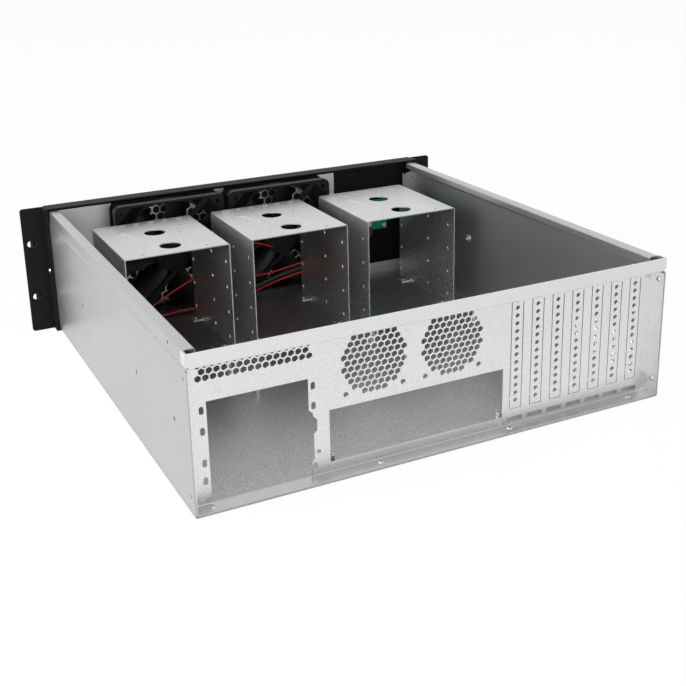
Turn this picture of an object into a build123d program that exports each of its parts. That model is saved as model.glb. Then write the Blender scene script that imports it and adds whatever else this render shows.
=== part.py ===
from build123d import *
import math
import os

# Empty 3U rackmount server case with its lid off. Millimetres.
# X points left as seen from the rear, Y from the rack plane to the rear, Z up.
# The origin is on the centre line, in the rear face of the ears, at their lower edge.

# Case body
case_depth = 440.0
body_width = 430.0
body_height = 128.4
sheet = 1.0
bend_outer = 1.6
bend_inner = 0.6
seat_gap = 0.2
joggle_height = 117.4
joggle_depth = 1.0
lip_width = 10.0
lip_drop = 6.0
lip_rear_gap = 9.0
tray_front = 3.0
front_flange = 11.0
front_lip_height = 9.0
front_lip_gap = 2.0
fold_low_z = 10.0
fold_top_drop = 3.0
fold_bite = 0.3

# Rear panel
panel_recess = 13.0
psu_opening_width = 80.4
psu_opening_height = 82.0
psu_right_x = 117.0
psu_hole_offset = 3.9
psu_slot_length = 6.5
psu_slot_width = 3.6
io_centre_x = 20.6
io_width = 158.75
io_height = 44.45
io_bottom = 9.9
slot_first_x = -71.8
slot_pitch = 20.32
slot_count = 7
cover_width = 12.2
cover_bottom = 16.2
cover_hole_pitch = 6.83
cover_hole_count = 14
cover_hole_diameter = 4.0
cover_first_hole = 7.3
cover_web = 1.4
cover_low_web = 9.0
cover_high_web = 4.0
cover_top_gap = 3.0
tab_pocket_bottom = 4.3
slit_width = 0.8
tab_pocket_width = 16.4
tab_pocket_height = 4.4
hex_pitch = 5.81
hex_flats = 4.8
rear_fan_spacing = 70.2
rear_fan_x = 60.5
rear_fan_z = 89.0
rear_fan_holes = 50.0
rear_fan_hole_diameter = 4.4
rear_grille_radius = 27.5
psu_vent_columns = 16
psu_vent_z = 102.4
psu_vent_first_x = 202.3
rivet_diameter = 3.2
rivet_head = 5.0
rivet_head_height = 1.0
rivet_hole = 3.3

# Side walls
side_vent_first_y = 327.0
side_vent_columns = 14
side_vent_rows = 8
side_vent_z = 9.0
rail_hole_diameter = 4.2
rail_hole_z = 65.5
lid_hole_diameter = 3.2
lid_hole_z = 123.4

# Main board standoffs, on the ATX hole pattern
board_hole_x = 94.0
board_hole_setback = 10.2
standoff_height = 9.0
standoff_flats = 5.5

# Drive cages
cage_width = 104.0
cage_depth = 118.0
cage_height = 111.0
cage_rear_y = 160.0
cage_pitch = 127.0
drive_row_pitch = 26.2
drive_top_drop = 21.0
drive_hole_diameter = 3.6
cage_hole_diameter = 21.0
foot_length = 12.0
foot_width = 10.0
foot_inset = 9.0
bead_radius = 1.6
bead_height = 0.5
bead_x = 31.6
bead_bulge = 12.0
bead_rear_setback = 9.0
bead_length = 78.0
bead_end_length = 3.6
bead_end_width = 1.6
cage_hole_setback = 24.0
cage_hole_pitch = 50.0
cage_slot_count = 6
cage_slot_pitch = 15.1
cage_slot_length = 5.2
cage_slot_width = 1.8
cage_slot_setback = 7.4
cage_tab_width = 2.0
cage_tab_height = 0.9
foot_screw_diameter = 2.9
foot_screw_head = 5.6
foot_screw_head_height = 2.0
drive_rear_setback = 11.7
drive_middle_pitch = 41.61
drive_end_pitch = 101.6

# Fans and their bracket
fan_size = 120.0
fan_depth = 25.0
fan_hole_spacing = 105.0
fan_pitch = 125.8
fan_first_x = 91.5
fan_centre_z = 67.5
fan_flange = 4.0
fan_corner_radius = 7.0
fan_ear_leg = 21.0
fan_flare_depth = 8.0
fan_rear_flange = 9.0
fan_hole_diameter = 4.3
fan_bore = 115.0
fan_wall = 2.5
fan_hub = 38.0
bearing_radius = 15.0
bearing_depth = 13.0
shaft_radius = 1.5
shaft_gap = 0.1
strut_disc = 36.0
strut_width = 5.0
strut_thickness = 3.0
strut_length = 68.0
strut_offset = 14.0
first_strut_angle = 43.0
blade_count = 7
blade_tip_gap = 1.75
blade_root_radius = 17.0
blade_root_chord = 19.0
blade_root_pitch = 44.0
blade_tip_radius = 60.0
blade_tip_chord = 41.0
blade_tip_pitch = 27.0
blade_camber = 3.0
blade_thickness = 1.4
fan_screw_diameter = 3.9
fan_screw_head = 7.4
fan_screw_head_height = 2.2
mesh_pitch = 8.7
mesh_flats = 7.3
mesh_radius = 55.0
bracket_right_x = -112.0
bracket_height = 126.5

# Front panel and ears
ear_width = 482.6
panel_height = 132.5
panel_sheet = 1.5
panel_face_y = -6.0
panel_flange_y = 12.0
ear_thickness = 2.0
ear_leg = 12.0
rack_slot_span = 465.1
rack_slot_pitch = 57.15
rack_slot_length = 9.6
rack_slot_width = 6.8
handle_span = 100.0
handle_x = 223.5
handle_reach = 38.0
handle_rod = 8.0
intake_slot_length = 44.0
intake_slot_width = 4.0
intake_slot_pitch = 9.0
intake_slot_rows = 11
filter_thickness = 5.5
filter_margin = 3.0

# Front board and its controls
board_centre_x = -161.0
board_centre_z = 69.0
io_board_width = 40.0
io_board_height = 36.0
io_board_thickness = 1.6
spacer_flats = 5.0
power_button_diameter = 9.0
reset_button_diameter = 5.0
button_travel = 1.2
button_gap = 0.15
usb_width = 14.5
usb_height = 7.0
board_y = 3.4

# Leads, their header and their plugs
sleeve_diameter = 5.0
wire_diameter = 1.8
header_length = 16.0
header_height = 8.5
header_depth = 6.0
header_x = -149.0
header_z = 59.0
panel_plug_width = 15.0
panel_plug_height = 6.0
panel_plug_length = 14.0
fan_plug_width = 7.0
fan_plug_height = 4.0
fan_plug_length = 12.0

# Values that follow from the sizes above
floor_z = panel_sheet
floor_top = floor_z + sheet
half_body = body_width / 2
wall_inner = half_body - sheet
strip_outer = half_body - joggle_depth
body_top = floor_z + body_height
joggle_z = floor_z + joggle_height
tab_low = joggle_z - 2 * joggle_depth
panel_rear_y = case_depth - panel_recess
panel_inner_y = panel_rear_y - sheet
half_ear = ear_width / 2
half_panel = half_body + seat_gap + panel_sheet
bracket_y = tray_front + sheet
fan_front_y = bracket_y + sheet
fan_rear_y = fan_front_y + fan_depth
cage_front_y = cage_rear_y - cage_depth
hex_row = math.sqrt(3) / 2
header_back_y = board_y + io_board_thickness + header_depth


def folded(points, radii, side):
    """Section of a bent sheet, from one skin's corners and their bend radii."""
    skin = FilletPolyline(*points, radius=radii)
    return make_face(offset(skin, amount=sheet, side=side, closed=True))


def rear_view(y):
    """Sketch plane across the case at y, with X and Z as its axes."""
    return Plane((0, y, 0), x_dir=(1, 0, 0), z_dir=(0, -1, 0))


def side_view(x):
    """Sketch plane along the case at x, with Y and Z as its axes."""
    return Plane((x, 0, 0), x_dir=(0, 1, 0), z_dir=(1, 0, 0))


def block(x0, x1, y0, y1, z0, z1):
    """Box between two corners."""
    middle = ((x0 + x1) / 2, (y0 + y1) / 2, (z0 + z1) / 2)
    return Pos(*middle) * Box(abs(x1 - x0), abs(y1 - y0), abs(z1 - z0))


def bar_y(x, z, y0, y1, diameter):
    """Round bar along Y."""
    turned = Pos(x, (y0 + y1) / 2, z) * Rot(90, 0, 0)
    return turned * Cylinder(diameter / 2, abs(y1 - y0))


def bar_x(y, z, x0, x1, diameter):
    """Round bar along X."""
    turned = Pos((x0 + x1) / 2, y, z) * Rot(0, 90, 0)
    return turned * Cylinder(diameter / 2, abs(x1 - x0))


def bar_z(x, y, z0, z1, diameter):
    """Round bar along Z."""
    return Pos(x, y, (z0 + z1) / 2) * Cylinder(diameter / 2, abs(z1 - z0))


def hexagon(x, z, flats):
    """Hexagonal hole with a point up and down."""
    corner = flats / math.sqrt(3)
    return Pos(x, z) * RegularPolygon(corner, 6, rotation=30)


def hex_disc(x, z, pitch, flats, radius):
    """Hexagonal holes on a staggered grid, inside a circle."""
    found = []
    rows = int(radius / (pitch * hex_row))
    for row in range(-rows, rows + 1):
        shift = pitch / 2 if row % 2 else 0
        for column in range(-20, 21):
            dx = column * pitch + shift
            dz = row * pitch * hex_row
            if math.hypot(dx, dz) <= radius:
                found.append(hexagon(x + dx, z + dz, flats))
    return found


def hex_rows(x, z, columns, rows, direction):
    """Rows of hexagonal holes, each second one shifted and one hole shorter."""
    found = []
    for row in range(rows):
        odd = row % 2
        for column in range(columns - odd):
            dx = direction * (column + odd / 2) * hex_pitch
            found.append(hexagon(x + dx, z + row * hex_pitch * hex_row, hex_flats))
    return found


def both_sides(solid):
    """A solid and its mirror image across the centre line."""
    return [solid, mirror(solid, about=Plane.YZ)]


# Chassis tray

rail_hole_ys = (54.5, 132.5, 308.5, 405.5)
lid_hole_ys = (63.0, 399.0)
side_rivet_zs = (15.3, 108.0)
side_rivet_y = case_depth - 6.5
ear_rivet_y = 7.0
ledge_rivet_xs = (199.0, 58.7, -62.8, -187.8)
ledge_rivet_y = case_depth - 7.5


def standoff_points():
    """Hole centres of a full-size board, from the corner hole beside the rear sockets."""
    rear = panel_inner_y - board_hole_setback
    spans_x = (0.0, 157.48, 281.94)
    spans_y = (0.0, 154.94, 227.33)
    return [(board_hole_x - dx, rear - dy) for dx in spans_x for dy in spans_y]


def foot_points():
    """Screw points of the three cages."""
    inset = cage_width / 2 - foot_width / 2 - sheet
    ends = (cage_front_y + foot_length / 2 + foot_inset, cage_rear_y - foot_length / 2 - foot_inset)
    centres = (cage_pitch, 0.0, -cage_pitch)
    return [(c + s * inset, y) for c in centres for s in (1, -1) for y in ends]


def tray_section():
    """Floor, walls, joggled top strips and their hollow lips, as one bent sheet."""
    lip_x = strip_outer - lip_width
    right = [
        (lip_x, body_top - lip_drop),
        (lip_x, body_top),
        (strip_outer, body_top),
        (strip_outer, joggle_z),
        (half_body, joggle_z - 2 * joggle_depth),
        (half_body, floor_z),
    ]
    left = [(-x, z) for x, z in right]
    bends = [bend_outer, bend_outer, bend_inner, bend_outer, bend_outer]
    return folded(left + right[::-1], bends + bends[::-1], Side.LEFT)


def front_edges():
    """Folds that close the front edge of the floor and the walls."""
    y1 = tray_front + sheet
    fold = block(
        half_body - front_flange,
        half_body - fold_bite,
        tray_front,
        y1,
        floor_z + fold_low_z,
        joggle_z - fold_top_drop,
    )
    lip = block(
        -half_body + front_flange + front_lip_gap,
        half_body - front_flange - front_lip_gap,
        tray_front,
        y1,
        floor_z + fold_bite,
        floor_z + front_lip_height,
    )
    return both_sides(fold) + [lip]


def wall_holes():
    """Tools for the round holes in the walls and strips."""
    tools = []
    for y in rail_hole_ys:
        z = floor_z + rail_hole_z
        tools.append(bar_x(y, z, wall_inner - 1, half_body + 1, rail_hole_diameter))
    for y in lid_hole_ys:
        z = floor_z + lid_hole_z
        tools.append(bar_x(y, z, strip_outer - 2, strip_outer + 1, lid_hole_diameter))
    for z in side_rivet_zs:
        tools.append(
            bar_x(side_rivet_y, floor_z + z, wall_inner - 1, half_body + 1, rivet_hole)
        )
    tools.append(
        bar_x(ear_rivet_y, panel_height / 2, wall_inner - 1, half_body + 1, rivet_hole)
    )
    tools.append(bar_x(tray_front + 6, floor_z + 109.7, wall_inner - 1, half_body + 1, 3.0))
    fold_holes = [(x, z, rivet_hole) for x, z in bracket_rivet_points()]
    fold_holes.append((half_body - 8, floor_z + 114, lid_hole_diameter))
    for x, z, diameter in fold_holes:
        tools.append(bar_y(x, z, tray_front - 1, tray_front + 2, diameter))
    return [each for tool in tools for each in both_sides(tool)]


def floor_holes():
    """Tools for the holes under the standoffs, cage feet and ledge rivets."""
    tools = [bar_z(x, y, floor_z - 1, floor_top + 1, 4.0) for x, y in standoff_points()]
    tools += [bar_z(x, y, floor_z - 1, floor_top + 1, 3.0) for x, y in foot_points()]
    for x in ledge_rivet_xs:
        tools.append(bar_z(x, ledge_rivet_y, floor_z - 1, floor_top + 1, rivet_hole))
    return tools


def chassis_tray():
    """Floor and side walls with the expansion-card vent in the right wall."""
    length = case_depth - tray_front
    tray = extrude(rear_view(tray_front) * tray_section(), amount=-length)
    tray += front_edges()
    lip_low = joggle_z + 2 * joggle_depth
    lip_in = strip_outer - lip_width - 1
    lip_ends = [
        (lip_in, strip_outer - sheet, tray_front - 1, panel_flange_y, lip_low),
        (lip_in, strip_outer - sheet, case_depth - lip_rear_gap, case_depth + 1, lip_low),
        (lip_in, half_body + 1, case_depth - sheet - seat_gap, case_depth + 1, tab_low),
    ]
    for x0, x1, y0, y1, z0 in lip_ends:
        tray -= both_sides(block(x0, x1, y0, y1, z0, body_top + 1))
    tray -= wall_holes() + floor_holes()
    vent = hex_rows(
        side_vent_first_y, floor_z + side_vent_z, side_vent_columns, side_vent_rows, 1
    )
    tray -= extrude(side_view(-half_body - 1) * Sketch(children=vent), amount=3)
    return tray


# Rear panel


def psu_contour():
    """Power supply opening, stepped on its inner side for switches and sockets."""
    right = psu_right_x
    left = right + psu_opening_width
    top = floor_z + psu_opening_height + 2
    low = floor_top + sheet
    return Polygon(
        (left, low),
        (left, top),
        (right, top),
        (right, floor_z + 58),
        (right - 3.2, floor_z + 55.2),
        (right - 3.2, floor_z + 52.6),
        (right - 6.6, floor_z + 49.2),
        (right - 6.6, floor_z + 39.6),
        (right - 3.6, floor_z + 37),
        (right - 3.6, floor_z + 17),
        (right - 1.4, floor_z + 14.6),
        (right - 1.4, low),
        align=None,
    )


def psu_slots():
    """Screw slots beside the power supply opening and the round hole near its foot."""
    left = psu_right_x + psu_opening_width + psu_hole_offset
    right = psu_right_x - psu_hole_offset
    spots = [(left, z) for z in (77.4, 60.8, 35.4, 20.9)]
    spots += [(right, z) for z in (77.4, 61.0, 10.3)]
    slots = [
        Pos(x, floor_z + z) * Rot(0, 0, 90) * SlotOverall(psu_slot_length, psu_slot_width)
        for x, z in spots
    ]
    return slots + [Pos(psu_right_x - 7.4, floor_z + 22) * Circle(1.8)]


def slot_cover(x):
    """Slits, holes and tab pocket of one expansion slot."""
    bottom = floor_z + cover_bottom
    top = joggle_z - cover_top_gap
    half_web = cover_web / 2
    cuts = [Pos(x, bottom) * Rectangle(cover_width, slit_width)]
    for side, web in ((1, bottom + cover_low_web), (-1, top - cover_high_web)):
        centre = x + side * (cover_width - slit_width) / 2
        low = web - half_web - bottom + slit_width / 2
        high = top - web - half_web
        cuts.append(Pos(centre, web - half_web - low / 2) * Rectangle(slit_width, low))
        cuts.append(Pos(centre, web + half_web + high / 2) * Rectangle(slit_width, high))
    for count in range(cover_hole_count):
        z = bottom + cover_first_hole + count * cover_hole_pitch
        if z + cover_hole_diameter / 2 < joggle_z - 2 * sheet:
            cuts.append(Pos(x, z) * Circle(cover_hole_diameter / 2))
    pocket = Rectangle(tab_pocket_width, tab_pocket_height)
    cuts.append(Pos(x, floor_z + tab_pocket_bottom + tab_pocket_height / 2) * pocket)
    return cuts


def rear_openings():
    """All the holes in the upright face of the rear panel."""
    io = Rectangle(io_width, io_height)
    holes = [psu_contour(), Pos(io_centre_x, floor_z + io_bottom + io_height / 2) * io]
    holes += psu_slots()
    for count in range(2):
        x = rear_fan_x - count * rear_fan_spacing
        z = floor_z + rear_fan_z
        holes += hex_disc(x, z, hex_pitch, hex_flats, rear_grille_radius)
        for sx in (1, -1):
            for sz in (1, -1):
                at = Pos(x + sx * rear_fan_holes / 2, z + sz * rear_fan_holes / 2)
                holes.append(at * Circle(rear_fan_hole_diameter / 2))
    holes += hex_rows(psu_vent_first_x, floor_z + psu_vent_z, psu_vent_columns, 3, -1)
    for count in range(slot_count):
        holes += slot_cover(slot_first_x - count * slot_pitch)
    return Sketch(children=holes)


def rear_section():
    """Ledge flange, upright face, shelf and rear rail as one bent sheet."""
    points = [
        (case_depth - 0.4, floor_top),
        (panel_inner_y, floor_top),
        (panel_inner_y, joggle_z),
        (case_depth - sheet, joggle_z),
        (case_depth - sheet, body_top),
    ]
    return folded(points, [bend_outer, bend_outer, bend_inner], Side.RIGHT)


def rear_panel():
    """Recessed rear panel with the rail across its top."""
    reach = strip_outer - sheet - seat_gap
    panel = extrude(side_view(-reach) * rear_section(), amount=2 * reach)
    low = floor_top + bend_outer
    high = joggle_z - bend_outer
    panel -= block(-reach - 1, reach + 1, panel_inner_y - 1, panel_rear_y + 1, low, high)
    blank = Pos(0, (low + high) / 2) * Rectangle(2 * reach, high - low)
    panel += extrude(rear_view(panel_rear_y) * (blank - rear_openings()), amount=sheet)
    foot = Pos(0, floor_z + 3) * Rectangle(2 * reach, 4)
    panel -= extrude(rear_view(panel_rear_y + 1) * (foot & psu_contour()), amount=sheet + 2)
    flange_x = wall_inner - seat_gap
    z1 = tab_low - joggle_depth
    flange = block(
        flange_x - sheet, flange_x, panel_inner_y, case_depth - 0.4, floor_top + 0.4, z1
    )
    rail = block(
        reach - 0.1, half_body, case_depth - sheet, case_depth, joggle_z + 1, body_top
    )
    tab = block(strip_outer, half_body, case_depth - 9, case_depth, joggle_z + 1, body_top)
    for z in side_rivet_zs:
        flange -= bar_x(
            side_rivet_y, floor_z + z, flange_x - 3, flange_x + 1, rivet_hole
        )
    panel += both_sides(flange) + both_sides(rail) + both_sides(tab)
    for x in ledge_rivet_xs:
        panel -= bar_z(x, ledge_rivet_y, floor_z, floor_top + 3, rivet_hole)
    for count in range(slot_count):
        x = slot_first_x - count * slot_pitch
        panel -= bar_z(x, panel_rear_y + 5.5, joggle_z - 3, joggle_z + 1, 3.4)
        edge = x - tab_pocket_width / 2
        low = floor_z + tab_pocket_bottom
        panel += block(
            edge, edge + sheet, panel_rear_y - 6, panel_rear_y, low, low + tab_pocket_height
        )
    return panel


def rivet(length):
    """Blind rivet standing on its hollow domed head, which lies below z = 0."""
    low = -rivet_head_height / 2
    head = Pos(0, 0, low) * Cone(rivet_head / 2 - 0.8, rivet_head / 2, rivet_head_height)
    body = head + Pos(0, 0, length / 2) * Cylinder(rivet_diameter / 2, length)
    return body - Pos(0, 0, low) * Cylinder(rivet_diameter / 4, rivet_head_height + 0.2)


def ledge_rivets():
    """Rivets that hold the rear panel to the floor."""
    placed = []
    for x in ledge_rivet_xs:
        at = Pos(x, ledge_rivet_y, floor_top + sheet) * Rot(180, 0, 0)
        placed.append(at * rivet(2 * sheet))
    return placed


def wall_rivets():
    """Rivets that hold the rear panel to the walls."""
    placed = []
    for z in side_rivet_zs:
        seat = wall_inner - seat_gap - sheet
        at = Pos(seat, side_rivet_y, floor_z + z) * Rot(0, 90, 0)
        placed += both_sides(at * rivet(2 * sheet + seat_gap))
    return placed


# Small hardware on the tray


def board_standoffs():
    """Hexagonal pillars for the main board."""
    pillar = extrude(RegularPolygon(standoff_flats / math.sqrt(3), 6), standoff_height)
    pillar += Pos(0, 0, -0.4) * Cylinder(1.95, 0.8)
    pillar -= Pos(0, 0, standoff_height - 3) * Cylinder(1.25, 6.2)
    return [Pos(x, y, floor_top) * pillar for x, y in standoff_points()]


def rail_nuts():
    """Clinch nuts behind the slide-rail holes of both walls."""
    nut = Pos(0, 0, -0.9) * Cylinder(4.0, 1.8)
    nut = chamfer(nut.edges().sort_by(Axis.Z)[0], 0.4)
    nut += Pos(0, 0, 0.45) * Cylinder(rail_hole_diameter / 2 - 0.05, 0.9)
    nut -= Cylinder(1.65, 6)
    placed = []
    for y in rail_hole_ys:
        at = Pos(wall_inner, y, floor_z + rail_hole_z) * Rot(0, 90, 0)
        placed += both_sides(at * nut)
    return placed


# Drive cages


def drive_rows():
    """Heights of the four rows of drive screw holes."""
    top = floor_top + cage_height - drive_top_drop
    return [top - row * drive_row_pitch for row in range(4)]


def drive_columns():
    """Distances of the three columns of drive screw holes from the front."""
    rear = cage_rear_y - drive_rear_setback
    return [rear, rear - drive_middle_pitch, rear - drive_end_pitch]


def bead(side):
    """Curved stiffening bead pressed up out of the cage top."""
    x_end = side * bead_x
    bulge = side * bead_bulge
    y0 = cage_rear_y - bead_rear_setback
    y1 = y0 - bead_length
    top = floor_top + cage_height
    line = ThreePointArc((x_end, y0), (x_end - bulge, (y0 + y1) / 2), (x_end, y1))
    sunk = Pos(0, 0, top + bead_height - bead_radius) * line
    start = Plane((x_end, y0, top + bead_height - bead_radius), z_dir=line % 0)
    return sweep(start * Circle(bead_radius), path=sunk) - Pos(0, 0, top - 5) * Box(600, 600, 10)


def drive_cage(centre):
    """Bent cage for four drives, open at the front and the rear."""
    half = cage_width / 2
    top = floor_top + cage_height
    points = [(-half, floor_top), (-half, top), (half, top), (half, floor_top)]
    section = folded(points, [bend_outer, bend_outer], Side.RIGHT)
    cage = extrude(rear_view(cage_front_y) * section, amount=-cage_depth)
    for sign in (1, -1):
        for end in (cage_front_y + foot_inset, cage_rear_y - foot_inset - foot_length):
            inner = half - foot_width
            cage += block(
                sign * inner, sign * (half - 0.5), end, end + foot_length, floor_top, floor_top + sheet
            )
    cage += [bead(1), bead(-1)]
    for z in drive_rows():
        for y in drive_columns():
            cage -= bar_x(y, z, -half - 1, half + 1, drive_hole_diameter)
    for count in range(2):
        y = cage_rear_y - cage_hole_setback - count * cage_hole_pitch
        cage -= bar_z(0, y, top - 3, top + 2, cage_hole_diameter)
    for count in range(cage_slot_count):
        slot = extrude(Rectangle(cage_slot_length, cage_slot_width), 4)
        x = (count - (cage_slot_count - 1) / 2) * cage_slot_pitch
        y = cage_front_y + cage_slot_setback
        cage -= Pos(x, y, top - 3) * slot
        tab_y = y - (cage_slot_width + cage_tab_width) / 2
        tab = Box(cage_slot_length, cage_tab_width, cage_tab_height)
        cage += Pos(x, tab_y, top + cage_tab_height / 2) * tab
    first_y = cage_rear_y - bead_rear_setback + 2
    for x in (bead_x, -bead_x):
        for y in (first_y, first_y - bead_length - 4):
            cage -= Pos(x, y, top - 3) * extrude(SlotOverall(bead_end_length, bead_end_width), 5)
    cage = Pos(centre, 0, 0) * cage
    for x, y in foot_points():
        cage -= bar_z(x, y, floor_top - 1, floor_top + 3, 3.4)
    return cage


def pan_screw(shank, diameter, head, head_height):
    """Pan-head screw with its shank along -Z and the underside of its head at z = 0."""
    top = Pos(0, 0, head_height / 2) * Cylinder(head / 2, head_height)
    top = fillet(top.edges().sort_by(Axis.Z)[-1], head_height * 0.45)
    top -= Pos(0, 0, head_height) * (Box(head * 0.55, 0.6, 1.4) + Box(0.6, head * 0.55, 1.4))
    return top + Pos(0, 0, -shank / 2) * Cylinder(diameter / 2, shank)


def cage_screws():
    """Screws through the cage feet into the floor."""
    screw = pan_screw(2 * sheet, foot_screw_diameter, foot_screw_head, foot_screw_head_height)
    return [Pos(x, y, floor_top + sheet) * screw for x, y in foot_points()]


# Fans


def fan_centres():
    """X of both fans."""
    return [fan_first_x - count * fan_pitch for count in range(2)]


def fan_corners(x):
    """Screw points of one fan."""
    half = fan_hole_spacing / 2
    z = floor_z + fan_centre_z
    return [(x + sx * half, z + sz * half) for sx in (1, -1) for sz in (1, -1)]


def fan_bracket():
    """Plated sheet behind the front panel, pierced with hexagons in front of each fan."""
    left_x = strip_outer - sheet - seat_gap
    low = floor_top + 0.3
    top = floor_z + bracket_height
    width = left_x - bracket_right_x
    plate = Pos((left_x + bracket_right_x) / 2, (low + top) / 2) * Rectangle(width, top - low)
    holes = []
    for x in fan_centres():
        holes += hex_disc(x, floor_z + fan_centre_z, mesh_pitch, mesh_flats, mesh_radius)
        holes += [Pos(*at) * Circle(2.1) for at in fan_corners(x)]
    holes += [Pos(x, z) * Circle(1.7) for x, z in bracket_points()]
    holes += [Pos(x, z) * Circle(rivet_hole / 2) for x, z in bracket_rivet_points()]
    sheet_face = plate - Sketch(children=holes)
    bracket = extrude(rear_view(bracket_y) * sheet_face, amount=-sheet)
    edge = block(
        bracket_right_x, bracket_right_x + sheet, bracket_y - 5, bracket_y + 0.2, low + 8, top - 8
    )
    return bracket + edge


def bracket_points():
    """Screw points of the bracket's free end."""
    x = bracket_right_x + 5.5
    return [(x, floor_z + 108.0), (x, floor_z + 22.0)]


def bracket_rivet_points():
    """Rivets of the bracket in the wall's front fold."""
    x = half_body - 6.0
    return [(x, floor_z + 40.0), (x, floor_z + 90.0)]


def cut_square(half, reach):
    """Square whose corners are cut along the lines x + y = reach."""
    side = reach - half
    first = [(half, side), (side, half)]
    corners = []
    for sx, sy in ((1, 1), (-1, 1), (-1, -1), (1, -1)):
        points = [(sx * px, sy * py) for px, py in first]
        corners += points if sx == sy else points[::-1]
    return Polygon(*corners, align=None)


def fan_flare():
    """Tool that widens the rear end of the round duct towards the corners."""
    half = fan_bore / 2
    wide = Pos(0, 0, fan_depth) * cut_square(half, fan_size - fan_ear_leg)
    narrow = Pos(0, 0, fan_depth - fan_flare_depth) * cut_square(half, half * math.sqrt(2))
    return loft([narrow, wide], ruled=True)


def fan_frame():
    """Square moulded frame with a round duct, struts and a bearing seat."""
    half = fan_bore / 2
    outline = RectangleRounded(fan_size, fan_size, fan_corner_radius)
    duct = Circle(half)
    body = extrude(outline - duct, fan_flange)
    body += Pos(0, 0, fan_depth - fan_rear_flange) * extrude(outline - duct, fan_rear_flange)
    body += extrude(Circle(half + fan_wall) - duct, fan_depth)
    body &= extrude(outline, fan_depth)
    body -= fan_flare()
    disc_z = fan_depth - strut_thickness
    body += Pos(0, 0, disc_z) * extrude(Circle(strut_disc / 2), strut_thickness)
    for count in range(4):
        at = Pos(strut_length / 2, strut_offset, disc_z + strut_thickness / 2)
        strut = at * Box(strut_length, strut_width, strut_thickness)
        body += Rot(0, 0, first_strut_angle + 90 * count) * strut
    bearing = Cylinder(bearing_radius, bearing_depth) - Cylinder(shaft_radius + shaft_gap, 15.0)
    body += Pos(0, 0, disc_z - bearing_depth / 2) * bearing
    for sx in (1, -1):
        for sy in (1, -1):
            at = Pos(sx * fan_hole_spacing / 2, sy * fan_hole_spacing / 2, fan_depth / 2)
            body -= at * Cylinder(fan_hole_diameter / 2, fan_depth + 1)
    return body


def impeller_blade():
    """Twisted, cambered blade lofted from the hub to the tip."""
    sections = []
    for share in (0.0, 0.5, 1.0):
        radius = blade_root_radius + share * (blade_tip_radius - blade_root_radius)
        pitch = blade_root_pitch + share * (blade_tip_pitch - blade_root_pitch)
        half = (blade_root_chord + share * (blade_tip_chord - blade_root_chord)) / 2
        low = -blade_thickness
        outer = ThreePointArc((-half, 0), (0, blade_camber), (half, 0))
        inner = ThreePointArc((-half, low), (0, blade_camber + low), (half, low))
        first_rim = Line((-half, 0), (-half, low))
        last_rim = Line((half, 0), (half, low))
        face = make_face([outer, first_rim, inner, last_rim])
        at = Plane((radius, 0, 0), x_dir=(0, 1, 0), z_dir=(1, 0, 0))
        sections.append(at * Rot(0, 0, pitch) * face)
    return loft(sections)


def fan_impeller():
    """Hub cup, shaft and blades."""
    tip = fan_bore / 2 - blade_tip_gap
    hub = fan_hub / 2
    low = 3.5
    high = fan_depth - 4.5
    height = high - low
    blade = Pos(0, 0, (low + high) / 2) * impeller_blade()
    blade &= Pos(0, 0, (low + high) / 2) * (Cylinder(tip, height) - Cylinder(hub - 1, height))
    wheel = Pos(0, 0, (low + high) / 2) * Cylinder(hub, height)
    wheel = fillet(wheel.edges().sort_by(Axis.Z)[0], 1.5)
    wheel -= Pos(0, 0, low + 2 + height / 2) * Cylinder(hub - 2.0, height)
    wheel += Pos(0, 0, low + 1 + 7) * Cylinder(shaft_radius, 14.0)
    for count in range(blade_count):
        wheel += Rot(0, 0, count * 360 / blade_count) * blade
    return wheel


def into_case(solid, x):
    """Turns a fan part drawn on its front face so that it stands on the bracket."""
    return Pos(x, fan_front_y, floor_z + fan_centre_z) * Rot(-90, 0, 0) * solid


def fan_screws():
    """Self-tapping screws through the bracket into the front flanges of both fans."""
    length = sheet + fan_flange + 4
    screw = pan_screw(length, fan_screw_diameter, fan_screw_head, fan_screw_head_height)
    placed = []
    for centre in fan_centres():
        for x, z in fan_corners(centre):
            placed.append(Pos(x, bracket_y, z) * Rot(90, 0, 0) * screw)
    return placed


def dust_filter():
    """Foam pad behind the air slots of the panel."""
    spread = fan_size + fan_pitch + 2 * filter_margin
    middle = fan_first_x - fan_pitch / 2
    back = panel_face_y + panel_sheet
    centre_z = floor_z + fan_centre_z
    high = intake_slot_rows * intake_slot_pitch + 2 * filter_margin
    pad = Pos(middle, centre_z) * RectangleRounded(spread, high, 4.0)
    return extrude(rear_view(back) * pad, amount=-filter_thickness)


# Front panel, ears and handles


def control_points():
    """X, Z of each control that looks through the panel, by name."""
    x = board_centre_x
    z = floor_z + board_centre_z
    return {
        "power": (x + 8.0, z + 8.0),
        "reset": (x - 4.0, z + 8.0),
        "power_light": (x - 11.0, z + 8.0),
        "drive_light": (x - 16.0, z + 8.0),
        "usb_1": (x + 9.0, z - 6.5),
        "usb_2": (x - 11.0, z - 6.5),
    }


def panel_holes():
    """Air slots in front of the fans and the holes for the controls."""
    holes = []
    for centre in fan_centres():
        for column in (-1, 1):
            for row in range(intake_slot_rows):
                z = floor_z + fan_centre_z + (row - (intake_slot_rows - 1) / 2) * intake_slot_pitch
                x = centre + column * (intake_slot_length / 2 + 3)
                holes.append(Pos(x, z) * SlotOverall(intake_slot_length, intake_slot_width))
    at = control_points()
    holes.append(Pos(*at["power"]) * Circle(power_button_diameter / 2 + button_gap))
    holes.append(Pos(*at["reset"]) * Circle(reset_button_diameter / 2 + button_gap))
    holes.append(Pos(*at["power_light"]) * Circle(1.6))
    holes.append(Pos(*at["drive_light"]) * Circle(1.6))
    for name in ("usb_1", "usb_2"):
        holes.append(Pos(*at[name]) * Rectangle(usb_width + 0.4, usb_height + 0.4))
    return Sketch(children=holes)


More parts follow.
